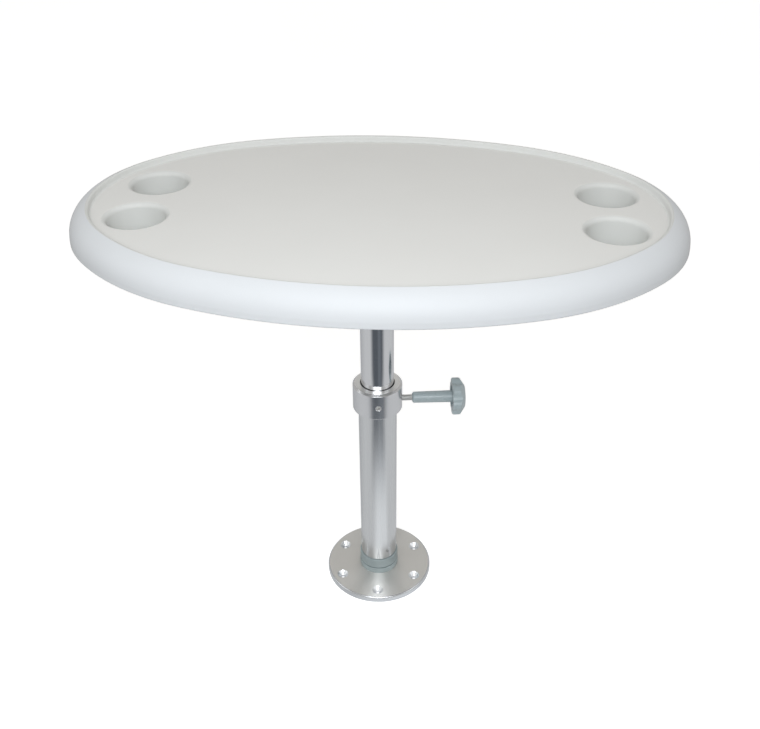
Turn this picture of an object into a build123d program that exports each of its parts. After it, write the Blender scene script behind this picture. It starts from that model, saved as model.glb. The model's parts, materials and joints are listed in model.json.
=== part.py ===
from build123d import *
import math
import os

# Single pole table: an oval moulded top on a telescopic aluminium pedestal.
# Millimetres, +Z up, origin at the centre of the base's underside, X along the top.

# Fits between pieces
fit_gap = 0.1
running_gap = 0.3
cut_over = 5.0

# Base flange, its spigot and the two grey bushes of the plug-in foot
flange_diameter = 177.8
flange_thickness = 10.0
flange_edge_round = 3.4
bolt_count = 6
bolt_circle = 141.8
bolt_hole_diameter = 6.6
countersink_diameter = 18.4
base_turn = 3.0
spigot_diameter = 40.0
spigot_lead = 3.0
base_bush_diameter = 65.4
base_bush_height = 10.7
foot_ring_diameter = 64.6
foot_ring_height = 20.7
foot_ring_top_round = 1.6
foot_ring_foot_round = 1.8
foot_sleeve_height = 42.0
bush_edge = 1.2
seam_height = 1.2
seam_depth = 2.0

# Lower tube and the screws that hold its foot
tube_diameter = 60.3
tube_wall = 3.0
tube_length = 342.5
foot_screw_count = 3
foot_screw_diameter = 5.0
foot_screw_height = 16.0
foot_screw_bite = 5.0
foot_screw_recess = 2.2
foot_screw_socket = 2.5
foot_screw_angle = -56.3

# Clamp collar on the tube's mouth
collar_diameter = 77.0
collar_grip = 38.0
collar_lip = 5.0
collar_top_bevel = 3.0
collar_edge = 0.6
collar_foot_round = 1.2
collar_lip_gap = 1.1
collar_turn = 7.3
collar_screw_diameter = 8.0
collar_screw_height = 21.0
collar_screw_recess = 1.2
collar_screw_socket = 4.0
spot_face_diameter = 19.0
spot_face_depth = 1.2

# Sizes that all set screws share
socket_depth = 3.2
screw_tip_bevel = 0.6
screw_mouth_bevel = 0.9

# Guide sleeve pressed in the tube's mouth
sleeve_flange = 2.0
sleeve_length = 60.0

# Clamp screw, its pad and the lobed knob on a long stem
clamp_height = 13.4
clamp_screw_diameter = 10.0
clamp_pad_diameter = 9.4
clamp_pad_length = 6.3
clamp_screw_grip = 44.0
stem_start = 54.0
stem_length = 65.5
stem_tip_diameter = 17.5
stem_root_diameter = 19.0
stem_tip_bevel = 2.2
stem_mouth_diameter = 12.6
stem_mouth_depth = 4.0
knob_back = 115.9
knob_thickness = 20.0
knob_diameter = 58.0
knob_lobes = 6
knob_lobe_radius = 10.0
knob_valley_radius = 8.0
knob_lobe_trim = 0.5
knob_bevel_length = 8.0
knob_bevel_depth = 12.0
knob_shoulder_round = 3.0
knob_face_round = 5.0
knob_back_round = 2.5
knob_cup_diameter = 34.0
knob_cup_depth = 6.5
knob_turn = 3.0

# Upper post with its foot plug and captive guide ring
post_diameter = 50.8
post_wall = 2.5
post_length = 355.3
post_insertion = 91.0
plug_grip = 25.0
plug_neck_diameter = 40.0
plug_head_thickness = 5.0
guide_ring_height = 12.0

# Mount under the table top
mount_diameter = 165.0
mount_thickness = 6.0
mount_edge_round = 1.5
socket_diameter = 68.0
socket_length = 51.0
socket_fillet = 6.0
mount_screw_count = 6
mount_screw_circle = 132.0
mount_screw_diameter = 5.5
mount_screw_head = 10.5
mount_screw_length = 18.0
cross_length = 5.6
cross_width = 1.5
cross_depth = 2.2
mount_screw_turn = 30.0
mount_set_screw_count = 2
mount_set_screw_spread = 90.0
mount_set_screw_turn = 135.0
mount_set_screw_diameter = 8.0
mount_set_screw_drop = 30.0
mount_set_screw_recess = 1.0
mount_set_screw_socket = 4.0

# Oval top: eight tangent arcs, a rim with a sloped and rounded shoulder, a recessed deck and four cup wells
top_length = 845.0
top_width = 552.0
shoulder_radius = 356.0
end_arc_angle = 41.2
side_arc_angle = 71.8
rim_height = 43.6
rim_draft = 2.5
rim_shoulder_drop = 10.9
rim_shoulder_round = 38.0
rim_lip_round = 3.0
rim_foot_width = 12.0
rim_foot_round = 2.0
lip_height = 10.6
lip_inset = 29.9
lip_draft = 1.2
lip_crease_round = 2.5
deck_thickness = 19.3
deck_join = 12.0
pad_diameter = 186.0
pad_height = 3.0
pad_edge_round = 1.5
well_diameter = 80.0
well_depth = 50.0
well_draft = 1.4
well_wall = 4.0
well_floor_round = 5.0
well_mouth_round = 7.0
well_end_inset = 104.5
well_spacing = 114.8

# Heights worked out from the stack of pieces
bush_top = flange_thickness + base_bush_height
tube_foot = bush_top + foot_ring_height
tube_top = tube_foot + tube_length
lip_under = tube_top + sleeve_flange
collar_top = lip_under + collar_lip
collar_foot = tube_top - collar_grip
clamp_z = collar_foot + clamp_height
collar_screw_z = collar_foot + collar_screw_height
post_foot = collar_top - post_insertion
post_top = post_foot + post_length
pad_face = post_top + mount_thickness
deck_under = pad_face + pad_height
deck_top = deck_under + deck_thickness
rim_top = deck_top + lip_height
rim_foot = rim_top - rim_height
well_floor = deck_top - well_depth

# Radii worked out from the diameters
tube_radius = tube_diameter / 2
tube_bore = tube_radius - tube_wall
post_radius = post_diameter / 2
post_bore = post_radius - post_wall
spigot_radius = spigot_diameter / 2
collar_radius = collar_diameter / 2
well_radius = well_diameter / 2

# Steps of the rim inwards from the oval's outer edge
crease_inset = lip_inset + lip_draft
deck_inset = crease_inset + lip_crease_round


def profile(corners):
    """Closed face from corners given as (x, y, corner radius)."""
    points = [(x, y) for x, y, radius in corners]
    radii = [radius for x, y, radius in corners]
    return make_face(FilletPolyline(*points, radius=radii, close=True))


def turned(corners):
    """Solid of revolution about Z from corners given as (radius, height, corner radius)."""
    return revolve(Plane.XZ * profile(corners), axis=Axis.Z)


def rod(radius, start, end):
    """Plain round bar along Z between two heights."""
    return Pos(0, 0, start) * Cylinder(radius, end - start, align=(Align.CENTER, Align.CENTER, Align.MIN))


def ring(inner, outer, start, end, edge=0.0):
    """Plain ring about Z between two heights, with its outer edges rounded by edge."""
    return turned([(inner, start, 0), (outer, start, edge), (outer, end, edge), (inner, end, 0)])


def outward(angle, height):
    """Plane at a height whose Z axis points out from the pole at an angle from +X."""
    turn = math.radians(angle)
    return Plane(
        origin=(0, 0, height),
        x_dir=(-math.sin(turn), math.cos(turn), 0),
        z_dir=(math.cos(turn), math.sin(turn), 0),
    )


def around(count, first):
    """Evenly spaced angles, from the first one."""
    return [first + 360 / count * index for index in range(count)]


def on_circle(diameter, angle, height):
    """Place on a circle about the pole."""
    turn = math.radians(angle)
    return Pos(diameter / 2 * math.cos(turn), diameter / 2 * math.sin(turn), height)


def set_screw(diameter, start, end, socket):
    """Headless screw along Z with a hexagon socket in its outer end."""
    radius = diameter / 2
    body = turned([
        (0, start, 0),
        (radius - screw_tip_bevel, start, 0),
        (radius, start + screw_tip_bevel, 0),
        (radius, end, 0),
        (0, end, 0),
    ])
    key = RegularPolygon(socket / 2, 6, major_radius=False)
    return body - extrude(Pos(0, 0, end - socket_depth) * key, amount=socket_depth + cut_over)


def screw_hole(diameter, start, mouth):
    """Cutter for a screw's hole along Z, bevelled where it meets the surface at mouth."""
    radius = diameter / 2 + fit_gap
    return turned([
        (0, start, 0),
        (radius, start, 0),
        (radius, mouth - screw_mouth_bevel, 0),
        (radius + screw_mouth_bevel + cut_over, mouth + cut_over, 0),
        (0, mouth + cut_over, 0),
    ])


# Base flange
countersink_depth = (countersink_diameter - bolt_hole_diameter) / 2
spigot_top = tube_foot + foot_sleeve_height - spigot_lead
bolt_angles = around(bolt_count, base_turn - 90)
floor_hole = turned([
    (0, -cut_over, 0),
    (bolt_hole_diameter / 2, -cut_over, 0),
    (bolt_hole_diameter / 2, flange_thickness - countersink_depth, 0),
    (countersink_diameter / 2 + cut_over, flange_thickness + cut_over, 0),
    (0, flange_thickness + cut_over, 0),
])
base_flange = turned([
    (0, 0, 0),
    (flange_diameter / 2, 0, 0),
    (flange_diameter / 2, flange_thickness, flange_edge_round),
    (spigot_radius, flange_thickness, 0),
    (spigot_radius, spigot_top - spigot_lead, 0),
    (spigot_radius - spigot_lead, spigot_top, 0),
    (0, spigot_top, 0),
])
for angle in bolt_angles:
    base_flange -= on_circle(bolt_circle, angle, 0) * floor_hole

# Grey bushes of the plug-in foot
base_bush = ring(spigot_radius + fit_gap, base_bush_diameter / 2, flange_thickness, bush_top, bush_edge)
sleeve_top = tube_foot + foot_sleeve_height
foot_ring_radius = foot_ring_diameter / 2
foot_bush = turned([
    (spigot_radius + fit_gap, bush_top, 0),
    (foot_ring_radius - seam_depth, bush_top, 0),
    (foot_ring_radius - seam_depth, bush_top + seam_height, 0),
    (foot_ring_radius, bush_top + seam_height, foot_ring_foot_round),
    (foot_ring_radius, tube_foot - seam_height, foot_ring_top_round),
    (tube_radius - seam_depth, tube_foot - seam_height, 0),
    (tube_radius - seam_depth, tube_foot, 0),
    (tube_bore - fit_gap, tube_foot, 0),
    (tube_bore - fit_gap, sleeve_top - bush_edge, 0),
    (tube_bore - fit_gap - bush_edge, sleeve_top, 0),
    (spigot_radius + fit_gap, sleeve_top, 0),
])

# Lower tube
lower_tube = ring(tube_bore, tube_radius, tube_foot, tube_top)

# Screws through the tube into the foot bush
foot_screw_z = tube_foot + foot_screw_height
foot_screw_start = tube_bore - foot_screw_bite
foot_screw_end = tube_radius - foot_screw_recess
foot_screw = set_screw(foot_screw_diameter, foot_screw_start, foot_screw_end, foot_screw_socket)
foot_screw_hole = rod(foot_screw_diameter / 2 + fit_gap, foot_screw_start - fit_gap, tube_radius + cut_over)
foot_screws = []
for angle in around(foot_screw_count, foot_screw_angle):
    place = outward(angle, foot_screw_z)
    foot_screws.append(place * foot_screw)
    foot_hole = place * foot_screw_hole
    lower_tube -= foot_hole
    foot_bush -= foot_hole

# Clamp collar
collar_bore = tube_radius + fit_gap
lip_bore = post_radius + collar_lip_gap
clamp_collar = turned([
    (collar_bore, collar_foot, 0),
    (collar_radius, collar_foot, collar_foot_round),
    (collar_radius, collar_top - collar_top_bevel, collar_edge),
    (collar_radius - collar_top_bevel, collar_top, collar_edge),
    (lip_bore, collar_top, collar_edge),
    (lip_bore, lip_under, 0),
    (collar_bore, lip_under, 0),
])

# Screws that fix the collar to the tube, a quarter turn either side of the knob
collar_screw_end = collar_radius - collar_screw_recess
collar_screw = set_screw(collar_screw_diameter, collar_bore, collar_screw_end, collar_screw_socket)
collar_screws = []
for angle in (collar_turn - 90, collar_turn + 90):
    place = outward(angle, collar_screw_z)
    collar_screws.append(place * collar_screw)
    clamp_collar -= place * screw_hole(collar_screw_diameter, tube_bore, collar_radius)

# Guide sleeve in the tube's mouth, its flange held under the collar's lip
sleeve_bore = post_radius + running_gap
guide_sleeve = turned([
    (sleeve_bore, lip_under - sleeve_length, 0),
    (tube_bore - fit_gap, lip_under - sleeve_length, 0),
    (tube_bore - fit_gap, tube_top, 0),
    (tube_radius - fit_gap, tube_top, 0),
    (tube_radius - fit_gap, lip_under, 0),
    (sleeve_bore, lip_under, 0),
])

# Clamp pad, screw and knob along one axis that points out of the collar
clamp_axis = outward(collar_turn, clamp_z)
pad_start = post_radius + running_gap
pad_end = pad_start + clamp_pad_length
clamp_screw_start = pad_end + fit_gap
clamp_screw_end = stem_start + clamp_screw_grip
clamp_radius = clamp_screw_diameter / 2
clamp_pad = clamp_axis * rod(clamp_pad_diameter / 2, pad_start, pad_end)
clamp_screw = clamp_axis * rod(clamp_radius, clamp_screw_start, clamp_screw_end)
clamp_passage = clamp_axis * rod(clamp_radius + running_gap, 0, tube_radius + fit_gap)
lower_tube -= clamp_passage
guide_sleeve -= clamp_passage
spot_floor = collar_radius - spot_face_depth
clamp_collar -= clamp_axis * rod(clamp_radius + fit_gap, tube_bore, collar_radius + cut_over)
clamp_collar -= clamp_axis * rod(spot_face_diameter / 2, spot_floor, collar_radius + cut_over)


def lobed_face():
    """Outline of the knob: round lobes joined by tangent hollows."""
    lobe_centre = knob_diameter / 2 + knob_lobe_trim - knob_lobe_radius
    half_step = 180 / knob_lobes
    reach = knob_lobe_radius + knob_valley_radius
    sideways = lobe_centre * math.sin(math.radians(half_step))
    inwards = lobe_centre * math.cos(math.radians(half_step))
    valley_floor = inwards + math.sqrt(reach ** 2 - sideways ** 2) - knob_valley_radius
    contact = half_step + math.degrees(math.asin(sideways / reach))
    edges = []
    for heading in around(knob_lobes, knob_turn):
        centre = Vector(lobe_centre, 0).rotate(Axis.Z, heading)
        hollow = Vector(valley_floor, 0).rotate(Axis.Z, heading + half_step)
        arc = CenterArc(centre, knob_lobe_radius, heading - contact, 2 * contact)
        after = arc.rotate(Axis.Z, 2 * half_step)
        edges.append(arc)
        edges.append(ThreePointArc(arc @ 1, hollow, after @ 0))
    return make_face(edges)


knob_front = knob_back + knob_thickness
knob_blank = turned([
    (0, knob_back, 0),
    (knob_diameter / 2, knob_back, knob_back_round),
    (knob_diameter / 2, knob_front - knob_bevel_length, knob_shoulder_round),
    (knob_diameter / 2 - knob_bevel_depth, knob_front, knob_face_round),
    (0, knob_front, 0),
])
stem_end = stem_start + stem_length
knob_cup = rod(knob_cup_diameter / 2, knob_back - cut_over, knob_back + knob_cup_depth)
stem = turned([
    (0, stem_start, 0),
    (stem_tip_diameter / 2 - stem_tip_bevel, stem_start, 0),
    (stem_tip_diameter / 2, stem_start + stem_tip_bevel, 0),
    (stem_root_diameter / 2, stem_end, 0),
    (stem_root_diameter / 2, knob_back + knob_cup_depth + fit_gap, 0),
    (0, knob_back + knob_cup_depth + fit_gap, 0),
])
knob_head = extrude(Pos(0, 0, knob_back) * lobed_face(), amount=knob_thickness) & knob_blank
knob_local = knob_head - knob_cup + stem
knob_local -= rod(clamp_radius + fit_gap, stem_start - cut_over, clamp_screw_end + fit_gap)
knob_local -= rod(stem_mouth_diameter / 2, stem_start - cut_over, stem_start + stem_mouth_depth)
clamp_knob = clamp_axis * knob_local

# Upper post
upper_post = ring(post_bore, post_radius, post_foot, post_top)

# Captive guide ring between the post's foot and the head of its plug
ring_top = post_foot - running_gap
ring_foot = ring_top - guide_ring_height
plug_neck = plug_neck_diameter / 2
post_guide = ring(plug_neck + running_gap, tube_bore - running_gap, ring_foot, ring_top, bush_edge)
plug_head_top = ring_foot - running_gap
post_plug = turned([
    (0, plug_head_top - plug_head_thickness, 0),
    (post_radius, plug_head_top - plug_head_thickness, bush_edge),
    (post_radius, plug_head_top, 0),
    (plug_neck, plug_head_top, 0),
    (plug_neck, post_foot, 0),
    (post_bore - fit_gap, post_foot, 0),
    (post_bore - fit_gap, post_foot + plug_grip - bush_edge, 0),
    (post_bore - fit_gap - bush_edge, post_foot + plug_grip, 0),
    (0, post_foot + plug_grip, 0),
])

# Mount plate with the socket that takes the post
socket_foot = post_top - socket_length
socket_bore = post_radius + fit_gap
table_mount = turned([
    (socket_bore, socket_foot, 0),
    (socket_diameter / 2, socket_foot, mount_edge_round),
    (socket_diameter / 2, post_top, socket_fillet),
    (mount_diameter / 2, post_top, mount_edge_round),
    (mount_diameter / 2, pad_face, 0),
    (0, pad_face, 0),
    (0, post_top, 0),
    (socket_bore, post_top, 0),
])

# Set screws that lock the post in the socket
set_screw_z = post_top - mount_set_screw_drop
set_screw_end = socket_diameter / 2 - mount_set_screw_recess
mount_set_screw = set_screw(mount_set_screw_diameter, socket_bore, set_screw_end, mount_set_screw_socket)
mount_set_screws = []
for index in range(mount_set_screw_count):
    place = outward(mount_set_screw_turn + mount_set_screw_spread * index, set_screw_z)
    mount_set_screws.append(place * mount_set_screw)
    table_mount -= place * screw_hole(mount_set_screw_diameter, post_bore, socket_diameter / 2)

# Countersunk screws from the mount up into the top
head_depth = (mount_screw_head - mount_screw_diameter) / 2
shank = mount_screw_diameter / 2
mount_screw = turned([
    (0, 0, 0),
    (mount_screw_head / 2, 0, 0),
    (shank, head_depth, 0),
    (shank, mount_screw_length - shank, 0),
    (0, mount_screw_length, 0),
])
mount_screw -= Box(cross_length, cross_width, 2 * cross_depth)
mount_screw -= Box(cross_width, cross_length, 2 * cross_depth)
mount_screw_hole = turned([
    (0, -cut_over, 0),
    (mount_screw_head / 2 + fit_gap + cut_over, -cut_over, 0),
    (shank + fit_gap, head_depth, 0),
    (shank + fit_gap, mount_screw_length - shank, 0),
    (0, mount_screw_length + fit_gap, 0),
])
mount_screws = []
screw_cutters = []
for angle in around(mount_screw_count, mount_screw_turn):
    place = on_circle(mount_screw_circle, angle, post_top)
    mount_screws.append(place * mount_screw)
    screw_cutters.append(place * mount_screw_hole)
table_mount -= screw_cutters


def oval_arcs():
    """Arcs of the oval going round from +X: centre, radius, first angle and angle covered."""
    half_length = top_length / 2
    half_width = top_width / 2
    first = math.radians(end_arc_angle)
    second = math.radians(side_arc_angle)
    # The end and side radii close the quarter outline at its half length and half width
    along = half_length - shoulder_radius * (math.cos(first) - math.cos(second))
    across = half_width - shoulder_radius * (math.sin(second) - math.sin(first))
    share = (1 - math.cos(first)) * (1 - math.sin(second)) - math.cos(second) * math.sin(first)
    end_radius = (along * (1 - math.sin(second)) - math.cos(second) * across) / share
    side_radius = ((1 - math.cos(first)) * across - math.sin(first) * along) / share
    end_x = half_length - end_radius
    shoulder_x = end_x + (end_radius - shoulder_radius) * math.cos(first)
    shoulder_y = (end_radius - shoulder_radius) * math.sin(first)
    side_y = half_width - side_radius
    shoulder_span = side_arc_angle - end_arc_angle
    side_span = 180 - 2 * side_arc_angle
    arcs = []
    for sign, half_turn in ((1, 0), (-1, 180)):
        end_first = half_turn - end_arc_angle
        shoulder_first = half_turn + end_arc_angle
        side_first = half_turn + side_arc_angle
        far_first = half_turn + 180 - side_arc_angle
        arcs.append((sign * end_x, 0.0, end_radius, end_first, 2 * end_arc_angle))
        arcs.append((sign * shoulder_x, sign * shoulder_y, shoulder_radius, shoulder_first, shoulder_span))
        arcs.append((0.0, sign * side_y, side_radius, side_first, side_span))
        arcs.append((-sign * shoulder_x, sign * shoulder_y, shoulder_radius, far_first, shoulder_span))
    return arcs


def rim_section(radius):
    """Section of the rim on an arc of that radius, from the outer wall in to the deck."""
    inner = deck_inset + deck_join
    return profile([
        (radius, rim_foot, rim_foot_round),
        (radius - rim_draft, rim_top - rim_shoulder_drop, rim_shoulder_round),
        (radius - lip_inset, rim_top, rim_lip_round),
        (radius - crease_inset, deck_top, lip_crease_round),
        (radius - inner, deck_top, 0),
        (radius - inner, deck_under, 0),
        (radius - rim_foot_width - rim_draft, deck_under, rim_foot_round),
        (radius - rim_foot_width, rim_foot, rim_foot_round),
    ])


def rim_piece(centre_x, centre_y, radius, first_angle, span):
    """Rim along one arc of the oval."""
    turn = math.radians(first_angle)
    section_plane = Plane(
        origin=(centre_x, centre_y, 0),
        x_dir=(math.cos(turn), math.sin(turn), 0),
        z_dir=(math.sin(turn), -math.cos(turn), 0),
    )
    arc_axis = Axis((centre_x, centre_y, 0), (0, 0, 1))
    return revolve(section_plane * rim_section(radius), axis=arc_axis, revolution_arc=span)


# Oval top, moulded in one piece
arcs = oval_arcs()
deck_edges = [CenterArc((x, y), radius - deck_inset, first, span) for x, y, radius, first, span in arcs]
deck = extrude(Pos(0, 0, deck_under) * make_face(deck_edges), amount=deck_thickness)
mount_pad = turned([
    (0, pad_face, 0),
    (pad_diameter / 2, pad_face, pad_edge_round),
    (pad_diameter / 2, deck_under + pad_height, 0),
    (0, deck_under + pad_height, 0),
])
well_shell = turned([
    (0, well_floor - well_wall, 0),
    (well_radius - well_draft + well_wall, well_floor - well_wall, well_floor_round + well_wall),
    (well_radius + well_wall, deck_under + pad_height, 0),
    (0, deck_under + pad_height, 0),
])
well_inside = turned([
    (0, well_floor, 0),
    (well_radius - well_draft, well_floor, well_floor_round),
    (well_radius, deck_top, 0),
    (well_radius, deck_top + cut_over, 0),
    (0, deck_top + cut_over, 0),
])
well_along = top_length / 2 - well_end_inset
well_across = well_spacing / 2
well_places = [Pos(x, y, 0) for x in (well_along, -well_along) for y in (well_across, -well_across)]
tabletop = deck + [rim_piece(*arc) for arc in arcs] + mount_pad
tabletop += [place * well_shell for place in well_places]
tabletop -= [place * well_inside for place in well_places]
tabletop -= screw_cutters
mouth_edges = [
    edge
    for edge in tabletop.edges().filter_by(GeomType.CIRCLE)
    if abs(edge.arc_center.Z - deck_top) < fit_gap and abs(edge.radius - well_radius) < fit_gap
]
tabletop = fillet(mouth_edges, well_mouth_round)

nodes = {
    "base_flange": base_flange,
    "base_bush": base_bush,
    "foot_bush": foot_bush,
    "foot_screws": Compound(children=foot_screws),
    "lower_tube": lower_tube,
    "clamp_collar": clamp_collar,
    "collar_screws": Compound(children=collar_screws),
    "guide_sleeve": guide_sleeve,
    "clamp_pad": clamp_pad,
    "clamp_screw": clamp_screw,
    "clamp_knob": clamp_knob,
    "upper_post": upper_post,
    "post_guide": post_guide,
    "post_plug": post_plug,
    "table_mount": table_mount,
    "mount_set_screws": Compound(children=mount_set_screws),
    "mount_screws": Compound(children=mount_screws),
    "tabletop": tabletop,
}
os.makedirs("parts", exist_ok=True)
for name, shape in nodes.items():
    export_step(shape, f"parts/{name}.step")
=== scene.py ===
"""Looks, light and camera for the single pole table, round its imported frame. Metres, +Z up."""
import json
import math

import bmesh
import bpy
from mathutils import Matrix, Vector


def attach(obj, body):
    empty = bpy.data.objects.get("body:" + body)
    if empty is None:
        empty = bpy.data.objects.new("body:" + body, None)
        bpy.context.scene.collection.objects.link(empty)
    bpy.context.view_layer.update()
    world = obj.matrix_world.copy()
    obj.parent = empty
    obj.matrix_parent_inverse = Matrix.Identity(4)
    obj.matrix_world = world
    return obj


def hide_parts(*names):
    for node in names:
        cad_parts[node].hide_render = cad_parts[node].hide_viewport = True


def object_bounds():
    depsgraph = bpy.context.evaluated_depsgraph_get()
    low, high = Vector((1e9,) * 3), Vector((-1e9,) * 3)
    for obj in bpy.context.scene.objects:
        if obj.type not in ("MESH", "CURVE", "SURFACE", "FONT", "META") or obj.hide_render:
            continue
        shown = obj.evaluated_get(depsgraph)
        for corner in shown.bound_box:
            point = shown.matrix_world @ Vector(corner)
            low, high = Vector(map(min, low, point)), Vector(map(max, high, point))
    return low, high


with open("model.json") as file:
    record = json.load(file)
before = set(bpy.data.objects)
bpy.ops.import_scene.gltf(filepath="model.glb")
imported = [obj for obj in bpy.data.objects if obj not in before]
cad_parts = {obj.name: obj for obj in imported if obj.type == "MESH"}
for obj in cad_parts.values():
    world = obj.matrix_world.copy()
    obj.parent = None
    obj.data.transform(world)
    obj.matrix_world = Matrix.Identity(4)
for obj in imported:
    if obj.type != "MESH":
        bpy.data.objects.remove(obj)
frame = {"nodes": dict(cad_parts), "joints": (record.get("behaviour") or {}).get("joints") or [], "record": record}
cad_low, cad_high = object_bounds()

scene = bpy.context.scene
nodes = frame["nodes"]
joints = {joint["name"]: joint for joint in frame["joints"]}

# Places taken from the frame
deck_face = max(
    opening["box_m"][1][2]
    for opening in frame["record"]["physics"]["openings"]
    if opening["name"].startswith("cup_well")
)
clamp_axis = Vector(joints["knob_turn"]["axis"]).normalized()
clamp_centre = Vector(joints["knob_turn"]["pos_m"])

# Width of the top's rim, and distance from the pole within which the base's countersinks lie
rim_width = 0.0305
countersink_reach = 0.082


class Surface:
    """A node material while it is put together."""

    def __init__(self, name, **constants):
        self.material = bpy.data.materials.new(name)
        self.material.use_nodes = True
        self.tree = self.material.node_tree
        self.shader = self.tree.nodes["Principled BSDF"]
        for socket, value in constants.items():
            self.shader.inputs[socket.replace("_", " ")].default_value = value
        coordinates = self.add("ShaderNodeTexCoord").outputs
        self.place = coordinates["Object"]
        self.own_normal = coordinates["Normal"]

    def add(self, kind, values=None, **settings):
        """New node, with its settings, and its inputs set or linked."""
        node = self.tree.nodes.new(kind)
        for name, value in settings.items():
            setattr(node, name, value)
        for socket, value in (values or {}).items():
            if isinstance(value, bpy.types.NodeSocket):
                self.tree.links.new(value, node.inputs[socket])
            else:
                node.inputs[socket].default_value = value
        return node

    def shade(self, socket, value):
        """Drives one input of the main shader."""
        self.tree.links.new(value, self.shader.inputs[socket])

    def calculate(self, operation, first, second=0.0):
        """Result of one operation on numbers."""
        return self.add("ShaderNodeMath", {0: first, 1: second}, operation=operation).outputs[0]

    def product(self, first, second):
        return self.calculate("MULTIPLY", first, second)

    def axes(self, vector):
        return self.add("ShaderNodeSeparateXYZ", {0: vector}).outputs

    def length(self, vector):
        return self.add("ShaderNodeVectorMath", {0: vector}, operation="LENGTH").outputs["Value"]

    def dot(self, first, second):
        node = self.add("ShaderNodeVectorMath", {0: first, 1: second}, operation="DOT_PRODUCT")
        return node.outputs["Value"]

    def stretched(self, scale):
        """Place scaled apart along the three axes."""
        return self.add("ShaderNodeMapping", {"Vector": self.place, "Scale": scale}).outputs[0]

    def distance(self):
        """Distance from the pole's axis."""
        return self.length(self.stretched((1, 1, 0)))

    def turned_place(self, scale):
        """Distance from the pole and height, so that a pattern runs in rings."""
        height = self.axes(self.place)["Z"]
        rings = self.add("ShaderNodeCombineXYZ", {"X": self.distance(), "Y": height}).outputs[0]
        return self.add("ShaderNodeVectorMath", {0: rings, "Scale": scale}, operation="SCALE").outputs[0]

    def noise(self, scale, detail=2.0, roughness=0.5, vector=None):
        values = {"Vector": vector or self.place, "Scale": scale, "Detail": detail, "Roughness": roughness}
        return self.add("ShaderNodeTexNoise", values).outputs["Fac"]

    def span(self, value, low, high, start=0.0, end=1.0):
        """Value carried smoothly from low..high to start..end."""
        values = {"Value": value, 1: low, 2: high, 3: start, 4: end}
        return self.add("ShaderNodeMapRange", values, interpolation_type="SMOOTHSTEP").outputs[0]

    def fade(self, value, low, high):
        """1 up to low, falling smoothly to 0 at high."""
        return self.span(value, low, high, start=1.0, end=0.0)

    def blend(self, share, first, second):
        """Colour between two colours, each from another node or given as red, green and blue."""
        values = {0: share, 6: solid(first), 7: solid(second)}
        return self.add("ShaderNodeMix", values, data_type="RGBA").outputs[2]

    def mottled(self, share, colour, gain):
        """Colour that is lighter by up to gain in each channel where the share is high."""
        return self.blend(share, colour, [channel + gain for channel in colour])

    def bump(self, height, strength, depth):
        values = {"Height": height, "Strength": strength, "Distance": depth}
        return self.add("ShaderNodeBump", values).outputs[0]

    def facing_up(self):
        """1 on faces that look straight up, 0 on those that lean by more than about 20 degrees."""
        normal = self.add("ShaderNodeNewGeometry").outputs["Normal"]
        return self.span(self.axes(normal)["Z"], low=0.93, high=0.995)


def solid(colour):
    """Opaque colour from red, green and blue. A node's output stays as it is."""
    if isinstance(colour, bpy.types.NodeSocket):
        return colour
    return (*colour, 1.0)


def grey(level):
    return (level, level, level)


def table_plastic():
    """Satin white moulding, finely grained, with painted light: a cool tint on the rim's outward faces against the
    warmer deck and inward faces, painted shade darkening the rim's crest, and lighter well floors.
    """
    made = Surface("table_plastic", IOR=1.47, Specular_IOR_Level=0.28)
    up = made.facing_up()
    height = made.axes(made.place)["Z"]
    below_rim = made.fade(height, low=deck_face + 0.002, high=deck_face + 0.008)
    below_deck = made.fade(height, low=deck_face - 0.03, high=deck_face - 0.02)
    deck = made.product(up, below_rim)
    well_floor = made.product(up, below_deck)

    # Faces inside the rim, and those of the rim itself that look inward
    oval = made.stretched((1 / (cad_high.x - rim_width), 1 / (cad_high.y - rim_width), 0))
    inside = made.fade(made.length(oval), low=0.985, high=1.0)
    outward = made.dot(made.own_normal, made.stretched((1, 2, 0)))
    inner = made.calculate("MAXIMUM", inside, made.fade(outward, low=-0.15, high=-0.02))

    mottle = made.noise(9.0, detail=4.0)
    mottle_gain = 0.03
    # Painted light: the rim's outward faces carry a cool tint from the lamps, put into their colour
    rim_painted_cool_light = made.mottled(mottle, (0.655, 0.675, 0.70), mottle_gain)
    wall_white = made.mottled(mottle, (0.655, 0.662, 0.648), mottle_gain)
    # Painted shade: the rim's upward-facing crest is coloured darker than the deck
    crest_painted_shade = made.mottled(mottle, (0.61, 0.612, 0.60), mottle_gain)
    deck_white = made.mottled(mottle, (0.725, 0.722, 0.705), mottle_gain)
    # Painted light: the recessed well floors are coloured lighter than the deck
    well_floor_painted_light = made.mottled(mottle, (0.82, 0.825, 0.805), mottle_gain)
    flat_white = made.blend(below_rim, crest_painted_shade, made.blend(well_floor, deck_white, well_floor_painted_light))
    steep_white = made.blend(inner, rim_painted_cool_light, wall_white)
    made.shade("Base Color", made.blend(up, steep_white, flat_white))

    speckle = made.noise(260.0, detail=3.0)
    satin = made.span(speckle, low=0.3, high=0.7, start=0.48, end=0.56)
    deck_dulling = made.product(deck, 0.05)
    made.shade("Roughness", made.calculate("ADD", satin, deck_dulling))
    grain = made.noise(1500.0, roughness=0.6)
    made.shade("Normal", made.bump(grain, strength=0.16, depth=0.0002))
    return made.material


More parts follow.
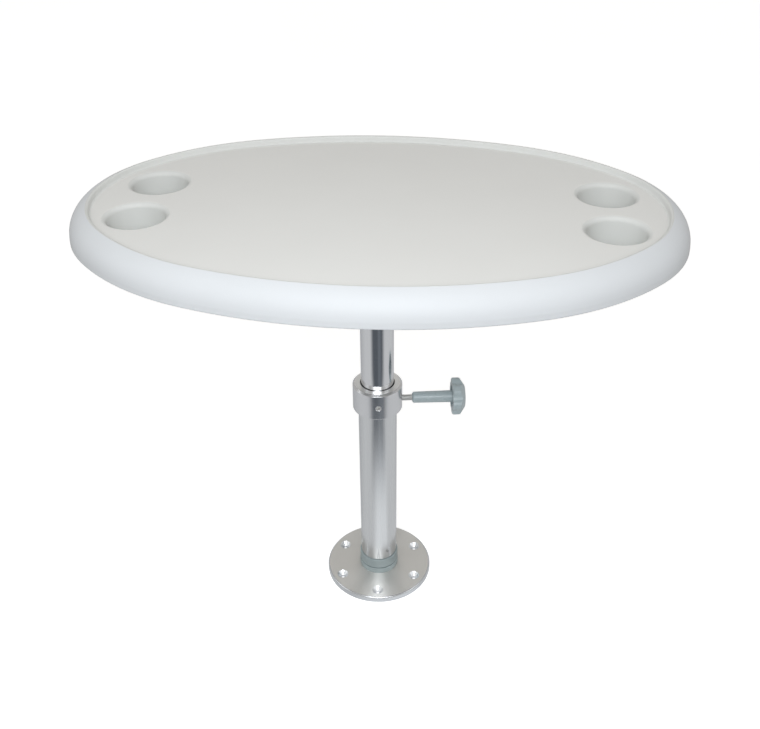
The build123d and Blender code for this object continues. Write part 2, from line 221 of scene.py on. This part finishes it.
def drawn_aluminium(name, colour, rough, lines):
    """Tube with fine lines along its length from the drawing die."""
    made = Surface(name, Metallic=1.0)
    streak = made.noise(1.0, detail=4.0, roughness=0.65, vector=made.stretched((1400, 1400, 5)))
    broad = made.noise(1.0, vector=made.stretched((130, 130, 1.5)))
    dark = [channel * 0.93 for channel in colour]
    light = [channel * 1.05 for channel in colour]
    made.shade("Base Color", made.blend(made.product(streak, broad), dark, light))
    made.shade("Roughness", made.span(streak, low=0.25, high=0.75, start=rough * 0.85, end=rough * 1.2))
    made.shade("Normal", made.bump(streak, strength=lines, depth=0.00005))
    return made.material


def collar_aluminium():
    """Lathe work: fine rings on every face, satin on the top, and painted light: the top is coloured far lighter
    than the sides.
    """
    made = Surface("collar_aluminium", Metallic=1.0)
    up = made.facing_up()
    ring = made.noise(1.0, detail=4.0, roughness=0.7, vector=made.turned_place(2600))
    worn = made.product(ring, made.noise(30.0))
    sides = made.mottled(worn, (0.635, 0.64, 0.655), gain=0.07)
    # Painted light: the top faces take a far lighter colour than the sides of the same aluminium
    top = made.mottled(worn, (0.88, 0.88, 0.875), gain=0.07)
    made.shade("Base Color", made.blend(up, sides, top))
    fine = made.span(ring, low=0.25, high=0.75, start=0.18, end=0.275)
    top_dulling = made.product(up, 0.10)
    made.shade("Roughness", made.calculate("ADD", fine, top_dulling))
    made.shade("Normal", made.bump(ring, strength=0.06, depth=0.00006))
    return made.material


def base_aluminium():
    """Plate with a ring-brushed top and an edge with a fine polish. Painted highlight: the countersinks are
    coloured lighter than the edge.
    """
    made = Surface("base_aluminium", Metallic=1.0, Anisotropic_Rotation=0.25)
    up = made.facing_up()
    sunk = made.fade(made.distance(), low=countersink_reach, high=countersink_reach + 0.002)
    brushed = made.mottled(made.noise(22.0, detail=3.0), (0.78, 0.775, 0.755), gain=0.07)
    # Painted highlight: within countersink_reach of the pole the colour is lighter than the edge's
    polished_and_painted_highlight = made.blend(sunk, (0.58, 0.595, 0.615), (0.74, 0.755, 0.77))
    made.shade("Base Color", made.blend(up, polished_and_painted_highlight, brushed))
    polish = made.span(sunk, low=0.0, high=1.0, start=0.27, end=0.38)
    brushing = 0.50
    made.shade("Roughness", made.add("ShaderNodeMix", {0: up, 2: polish, 3: brushing}).outputs[0])
    made.shade("Anisotropic", made.span(up, low=0.0, high=1.0, end=0.8))
    made.shade("Tangent", made.add("ShaderNodeTangent", direction_type="RADIAL", axis="Z").outputs[0])
    ring = made.noise(1.0, detail=5.0, roughness=0.75, vector=made.turned_place(1900))
    made.shade("Normal", made.bump(ring, strength=0.10, depth=0.00008))
    return made.material


def mount_aluminium():
    """Satin casting with a slightly pebbled skin."""
    made = Surface("mount_aluminium", Metallic=1.0)
    patch = made.noise(45.0, detail=3.0)
    made.shade("Base Color", made.mottled(patch, (0.56, 0.565, 0.57), gain=0.10))
    made.shade("Roughness", made.span(patch, low=0.3, high=0.7, start=0.36, end=0.48))
    pebble = made.noise(900.0, detail=3.0, roughness=0.6)
    made.shade("Normal", made.bump(pebble, strength=0.25, depth=0.0002))
    return made.material


def moulded_plastic(name, dark, light, rough):
    """Moulded plastic with slight flow marks and a fine grain."""
    made = Surface(name, IOR=1.5)
    flow = made.noise(38.0, detail=5.0, roughness=0.6)
    made.shade("Base Color", made.blend(made.span(flow, low=0.3, high=0.7), dark, light))
    sheen = made.noise(320.0)
    made.shade("Roughness", made.span(sheen, low=0.3, high=0.7, start=rough - 0.05, end=rough + 0.06))
    made.shade("Normal", made.bump(made.noise(2200.0), strength=0.10, depth=0.0001))
    return made.material


def screw_steel():
    """Stainless fasteners with turned marks and slight handling marks."""
    made = Surface("screw_steel", Metallic=1.0)
    marks = made.noise(1.0, detail=4.0, roughness=0.7, vector=made.stretched((2500, 2500, 400)))
    made.shade("Base Color", made.mottled(marks, (0.62, 0.62, 0.61), gain=0.12))
    made.shade("Roughness", made.span(marks, low=0.3, high=0.7, start=0.54, end=0.66))
    made.shade("Normal", made.bump(marks, strength=0.08, depth=0.00005))
    return made.material


materials = {
    "table_plastic": table_plastic(),
    "post_aluminium": drawn_aluminium("post_aluminium", (0.70, 0.705, 0.72), rough=0.14, lines=0.05),
    "tube_aluminium": drawn_aluminium("tube_aluminium", (0.665, 0.675, 0.685), rough=0.24, lines=0.09),
    "collar_aluminium": collar_aluminium(),
    "base_aluminium": base_aluminium(),
    "mount_aluminium": mount_aluminium(),
    "grey_plastic": moulded_plastic(
        "grey_plastic", dark=(0.285, 0.34, 0.352), light=(0.34, 0.40, 0.412), rough=0.42
    ),
    "knob_plastic": moulded_plastic(
        "knob_plastic", dark=(0.435, 0.512, 0.54), light=(0.46, 0.538, 0.566), rough=0.31
    ),
    "guide_plastic": moulded_plastic(
        "guide_plastic", dark=(0.016, 0.016, 0.018), light=(0.03, 0.03, 0.032), rough=0.40
    ),
    "pad_plastic": moulded_plastic(
        "pad_plastic", dark=(0.66, 0.64, 0.56), light=(0.74, 0.72, 0.64), rough=0.45
    ),
    "screw_steel": screw_steel(),
}
for subpart in frame["record"]["subparts"]:
    mesh = nodes[subpart["node"]].data
    mesh.materials.clear()
    mesh.materials.append(materials[subpart["material_slot"]])


def new_piece(name, mesh, body, slot, *replaced):
    """Piece that stands for CAD nodes and rides on their body."""
    piece = bpy.data.objects.new(name, mesh)
    scene.collection.objects.link(piece)
    mesh.materials.clear()
    mesh.materials.append(materials[slot])
    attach(piece, body)
    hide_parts(*replaced)


# Clamp screw with its thread
thread_pitch = 0.0015
thread_depth = 0.00082
thread_radius = 0.005
thread_sides = 48
rows_per_turn = 10
screw_along = [(vertex.co - clamp_centre).dot(clamp_axis) for vertex in nodes["clamp_screw"].data.vertices]
screw_start, screw_end = min(screw_along), max(screw_along)


def thread_mesh():
    """Right-handed thread on the clamp's axis, rounded at crest and root, with bevelled ends."""
    across = clamp_axis.orthogonal().normalized()
    upward = clamp_axis.cross(across)
    step = thread_pitch / rows_per_turn
    rows = round((screw_end - screw_start) / step)
    built = bmesh.new()
    loops = []
    for row in range(rows + 1):
        along = screw_start + (screw_end - screw_start) * row / rows
        to_end = min(along - screw_start, screw_end - along)
        loop = []
        for side in range(thread_sides):
            turn = 2 * math.pi * side / thread_sides
            phase = (along / thread_pitch - side / thread_sides) % 1.0
            cut = thread_depth * (0.5 + 0.5 * math.cos(2 * math.pi * phase))
            radius = min(thread_radius - cut, thread_radius - thread_depth + to_end)
            spoke = across * math.cos(turn) + upward * math.sin(turn)
            loop.append(built.verts.new(clamp_centre + clamp_axis * along + spoke * radius))
        loops.append(loop)
    for near, far in zip(loops, loops[1:]):
        for side in range(thread_sides):
            after = (side + 1) % thread_sides
            built.faces.new((near[side], near[after], far[after], far[side])).smooth = True
    built.faces.new(reversed(loops[0]))
    built.faces.new(loops[-1])
    mesh = bpy.data.meshes.new("clamp_thread")
    built.to_mesh(mesh)
    built.free()
    return mesh


new_piece("clamp_thread", thread_mesh(), "knob", "screw_steel", "clamp_screw")


def stage_sheet(name, place, half_x, half_y, surface, rays):
    """Flat rectangle of the stage, facing up until it is turned, that only one kind of ray meets."""
    mesh = bpy.data.meshes.new(name)
    corners = [(-half_x, -half_y, 0), (half_x, -half_y, 0), (half_x, half_y, 0), (-half_x, half_y, 0)]
    mesh.from_pydata(corners, [], [(0, 1, 2, 3)])
    mesh.materials.append(surface.material)
    sheet = bpy.data.objects.new(name, mesh)
    sheet.location = place
    sheet.visible_camera = rays == "camera"
    sheet.visible_diffuse = rays == "diffuse"
    sheet.visible_glossy = rays == "glossy"
    sheet.visible_shadow = False
    scene.collection.objects.link(sheet)
    return sheet


def shown_floor():
    """Pale floor for the camera, which glows enough to come out white."""
    made = Surface("pale_floor", Emission_Strength=0.55, Emission_Color=solid(grey(1.0)))
    cloud = made.noise(1.3)
    made.shade("Base Color", made.mottled(cloud, grey(0.78), gain=0.02))
    made.shade("Roughness", made.span(cloud, low=0.2, high=0.8, start=0.75, end=0.85))
    return made


def bounce_floor():
    """Grey floor that sends soft light back up."""
    made = Surface("bounce_floor", Roughness=0.9)
    made.shade("Base Color", made.mottled(made.noise(1.3), grey(0.50), gain=0.04))
    return made


def glowing(name, strength):
    """Nearly black surface whose light comes from itself."""
    made = Surface(name, Roughness=0.9, Emission_Strength=strength)
    made.shade("Base Color", made.mottled(made.noise(3.0), grey(0.0), gain=0.01))
    return made


def mirror_floor():
    """Glowing floor that only reflections show, painting the metal's reflections: darker behind the pole, and in
    front bright near it and dark far out.
    """
    side_tone = (0.68, 0.69, 0.70)
    back_tone = (0.49, 0.50, 0.515)
    near_tone = (0.93, 0.95, 0.97)
    far_tone = (0.078, 0.092, 0.11)
    streak_tone = (0.145, 0.165, 0.19)
    made = glowing("mirror_floor", strength=1.0)
    axes = made.axes(made.place)
    heading = made.calculate("ARCTAN2", axes["X"], made.product(axes["Y"], -1.0))
    reach = made.length(made.place)

    def aside(turn):
        """Angle from a heading that is given in degrees, with 0 to the front."""
        return made.calculate("ABSOLUTE", made.calculate("SUBTRACT", heading, math.radians(turn)))

    def wedge(turn, core, edge, narrowing=1.0):
        """1 in the core of a wedge round a heading, 0 past its edge. All angles are in degrees."""
        return made.fade(made.product(aside(turn), narrowing), math.radians(core), math.radians(edge))

    # The dark wedge is narrower over a short reach
    squeeze = made.product(made.span(reach, low=0.45, high=0.51), made.fade(reach, low=0.575, high=0.62))
    narrowing = made.calculate("ADD", made.product(squeeze, 0.4), 1.0)
    behind = made.span(aside(14), low=math.radians(85), high=math.radians(160))
    side_colour = made.blend(behind, side_tone, back_tone)
    near_colour = made.blend(wedge(turn=20, core=20, edge=50), side_colour, near_tone)
    dark_colour = made.blend(wedge(turn=20, core=4, edge=15), far_tone, streak_tone)
    far_colour = made.blend(wedge(turn=8, core=26, edge=52, narrowing=narrowing), side_colour, dark_colour)
    far_share = made.span(reach, low=0.18, high=0.52)
    made.shade("Emission Color", made.blend(far_share, near_colour, far_colour))
    return made


# Three floors, a hair apart
floor_half = 12.0
floor_gap = 0.0002
show_level = cad_low.z - floor_gap
bounce_level = show_level - floor_gap
mirror_level = show_level + floor_gap / 2
stage_sheet("floor", (0, 0, show_level), floor_half, floor_half, shown_floor(), rays="camera")
stage_sheet("bounce_floor", (0, 0, bounce_level), floor_half, floor_half, bounce_floor(), rays="diffuse")
stage_sheet("mirror_floor", (0, 0, mirror_level), floor_half, floor_half, mirror_floor(), rays="glossy")


def glowing_card(name, place, half_x, half_y, strength, tilt_x=0, tilt_y=0):
    """Bright card that only reflections show, tilted by degrees about X and Y."""
    glow = glowing(name, strength)
    glow.shade("Emission Color", glow.blend(glow.noise(2.0), (0.96, 0.98, 1.0), grey(1.0)))
    card = stage_sheet(name, place, half_x, half_y, glow, rays="glossy")
    card.rotation_euler = (math.radians(tilt_x), math.radians(tilt_y), 0)


glowing_card("high_card", (0.1, -1.5, 2.3), half_x=0.7, half_y=0.45, strength=3.2, tilt_x=-55)
glowing_card("eye_card", (0.1, -1.62, 1.5), half_x=0.8, half_y=0.3, strength=2.2, tilt_x=53)
glowing_card("left_card", (-1.9, -0.5, 1.3), half_x=0.6, half_y=0.6, strength=1.6, tilt_y=-60)
glowing_card("right_card", (1.9, -0.5, 1.3), half_x=0.6, half_y=0.6, strength=1.6, tilt_y=60)

# Studio light
sky_tint = (1.0, 0.985, 0.955)
sky_strength = 0.58
lamp_tint = (0.93, 0.97, 1.0)
world = bpy.data.worlds.new("studio")
world.use_nodes = True
world.node_tree.nodes["Background"].inputs["Color"].default_value = solid(sky_tint)
world.node_tree.nodes["Background"].inputs["Strength"].default_value = sky_strength
scene.world = world


def softbox(name, place, aim, width, height, power):
    """Soft rectangular lamp that the camera doesn't see."""
    lamp = bpy.data.lights.new(name, "AREA")
    lamp.shape = "RECTANGLE"
    lamp.size = width
    lamp.size_y = height
    lamp.energy = power
    lamp.color = lamp_tint
    holder = bpy.data.objects.new(name, lamp)
    holder.location = place
    holder.rotation_euler = (Vector(aim) - Vector(place)).to_track_quat("-Z", "Y").to_euler()
    holder.visible_camera = False
    scene.collection.objects.link(holder)


softbox("key", (0.1, -1.32, 1.34), aim=(0, -0.1, 0.6), width=0.8, height=0.4, power=7.5)
softbox("high_key", (-0.08, -0.9, 1.5), aim=(0, -0.1, 0.68), width=0.5, height=0.4, power=4.2)

# Camera at the photograph's view
camera_place = Vector((0.10929, -1.17376, 1.19808))
camera_heading = math.radians(5.114)
pitch = math.radians(33.351)
roll = math.radians(0.43)
focal_pixels = 927.5
image_width = 760
level = Vector((-math.sin(camera_heading), math.cos(camera_heading), 0))
right = Vector((math.cos(camera_heading), math.sin(camera_heading), 0))
forward = level * math.cos(pitch) - Vector((0, 0, math.sin(pitch)))
down = -(Vector((0, 0, math.cos(pitch))) + level * math.sin(pitch))
image_right = right * math.cos(roll) + down * math.sin(roll)
image_down = down * math.cos(roll) - right * math.sin(roll)
lens = bpy.data.cameras.new("camera")
lens.sensor_fit = "HORIZONTAL"
lens.sensor_width = 36.0
lens.lens = focal_pixels * lens.sensor_width / image_width
camera = bpy.data.objects.new("camera", lens)
camera_turn = Matrix((image_right, -image_down, -forward)).transposed()
camera.matrix_world = Matrix.Translation(camera_place) @ camera_turn.to_4x4()
scene.collection.objects.link(camera)
scene.camera = camera
scene.view_settings.view_transform = "Standard"
